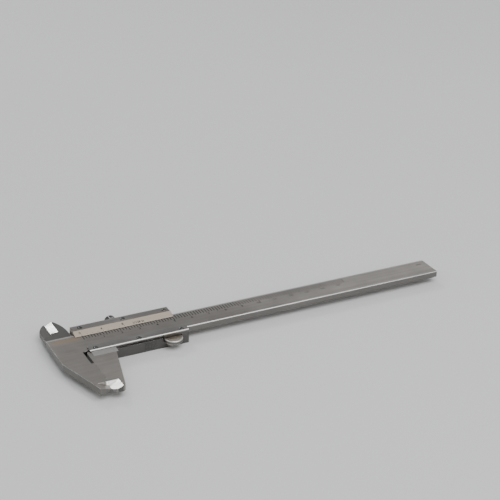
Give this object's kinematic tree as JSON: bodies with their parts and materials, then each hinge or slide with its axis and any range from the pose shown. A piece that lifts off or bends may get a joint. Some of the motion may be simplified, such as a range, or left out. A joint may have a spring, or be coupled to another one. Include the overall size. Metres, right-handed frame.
{
  "type": "vernier caliper",
  "caption": "Steel vernier caliper with outside and inside jaws, depth rod, lock screw and thumb roller, shown closed and lying face up.",
  "frame": {"origin": "middle of the caliper's outline seen from above, on the plane of the slider's back", "axes": "+X along the beam towards its free end, +Y from the outside jaws' tips to the inside jaws' tips, +Z out of the scale face"},
  "size_m": [0.2304, 0.076, 0.009],
  "materials": {
    "satin_steel": "satin ground",
    "satin_chrome": "matt chrome, slightly warm",
    "cap_steel": "satin ground",
    "screw_steel": "turned",
    "bronze": "rolled strip"
  },
  "bodies": {
    "beam": {"beam": "satin_steel", "end_stop": "satin_steel", "end_stop_screw_1": "screw_steel", "end_stop_screw_2": "screw_steel"},
    "slider": {"slider_frame": "satin_steel", "front_rail": "satin_steel", "front_rail_screw_1": "screw_steel", "front_rail_screw_2": "screw_steel", "front_rail_screw_3": "screw_steel", "vernier_plate": "satin_chrome", "rear_cap": "cap_steel", "rear_cap_screw_1": "screw_steel", "rear_cap_screw_2": "screw_steel", "rear_cap_screw_3": "screw_steel", "gib_strip": "bronze", "gib_set_screw_1": "screw_steel", "gib_set_screw_2": "screw_steel", "depth_rod": "satin_steel", "rod_clamp_plate": "satin_steel", "rod_clamp_screw_1": "screw_steel", "rod_clamp_screw_2": "screw_steel", "roller_axle": "screw_steel"},
    "lock_screw": {"lock_screw": "screw_steel"},
    "clamp_pad": {"clamp_pad": "bronze"},
    "thumb_roller": {"thumb_roller": "satin_steel"}
  },
  "joints": [
    {"name": "slider_travel", "type": "slide", "parent": "beam", "child": "slider", "axis": [1, 0, 0], "range_m": [0, 0.15]},
    {"name": "lock_advance", "type": "slide", "parent": "slider", "child": "clamp_pad", "axis": [0, -1, 0], "range_m": [0, 0.00025]},
    {"name": "lock_turn", "type": "hinge", "parent": "clamp_pad", "child": "lock_screw", "pos_m": [-0.0762, 0.02515, 0.0052], "axis": [0, -1, 0], "range_deg": [0, 180]},
    {"name": "roller_spin", "type": "hinge", "parent": "slider", "child": "thumb_roller", "pos_m": [-0.0528, -0.0023, 0.005], "axis": [0, 0, 1], "range_deg": [0, 1710]}
  ],
  "couplings": [
    {"joint": "lock_turn", "follows": "lock_advance", "rad_per_m": 12566},
    {"joint": "roller_spin", "follows": "slider_travel", "rad_per_m": 198.02}
  ]
}
